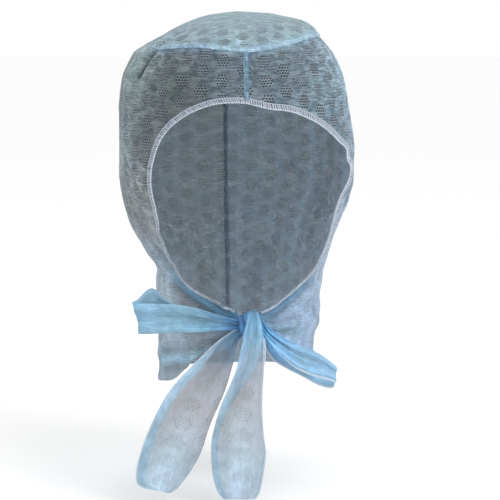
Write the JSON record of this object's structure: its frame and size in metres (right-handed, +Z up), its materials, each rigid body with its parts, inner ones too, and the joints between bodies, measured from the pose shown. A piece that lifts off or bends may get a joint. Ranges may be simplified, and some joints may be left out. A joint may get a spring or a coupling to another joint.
{
  "type": "tie-on surgical hood",
  "caption": "Light cloth hood for the head and neck: oval crown, side panels, overlocked face edge and two ties in a bow under the chin.",
  "frame": {"origin": "inside of the crown, where the top of the wearer's head sits", "axes": "+Z up along the wearer's neck, -Y out of the face opening, +X to the wearer's left"},
  "size_m": [0.1801, 0.2125, 0.3529],
  "materials": {
    "panel_cloth": "matt, thin and streaky, part see-through, with small clusters of holes",
    "seam_cloth": "matt, folded double, stitched",
    "tie_cloth": "matt, thin and streaky, part see-through",
    "overlock_thread": "matt thread"
  },
  "bodies": {
    "root": {"crown_panel": "panel_cloth", "side_panel_right": "panel_cloth", "side_panel_left": "panel_cloth", "crown_seam": "seam_cloth", "front_seam": "seam_cloth", "back_seam": "seam_cloth", "face_edging": "overlock_thread", "tie_knot": "tie_cloth", "bow_loop_right": "tie_cloth", "bow_loop_left": "tie_cloth", "tie_tail_right": "tie_cloth", "tie_tail_left": "tie_cloth"}
  },
  "joints": []
}
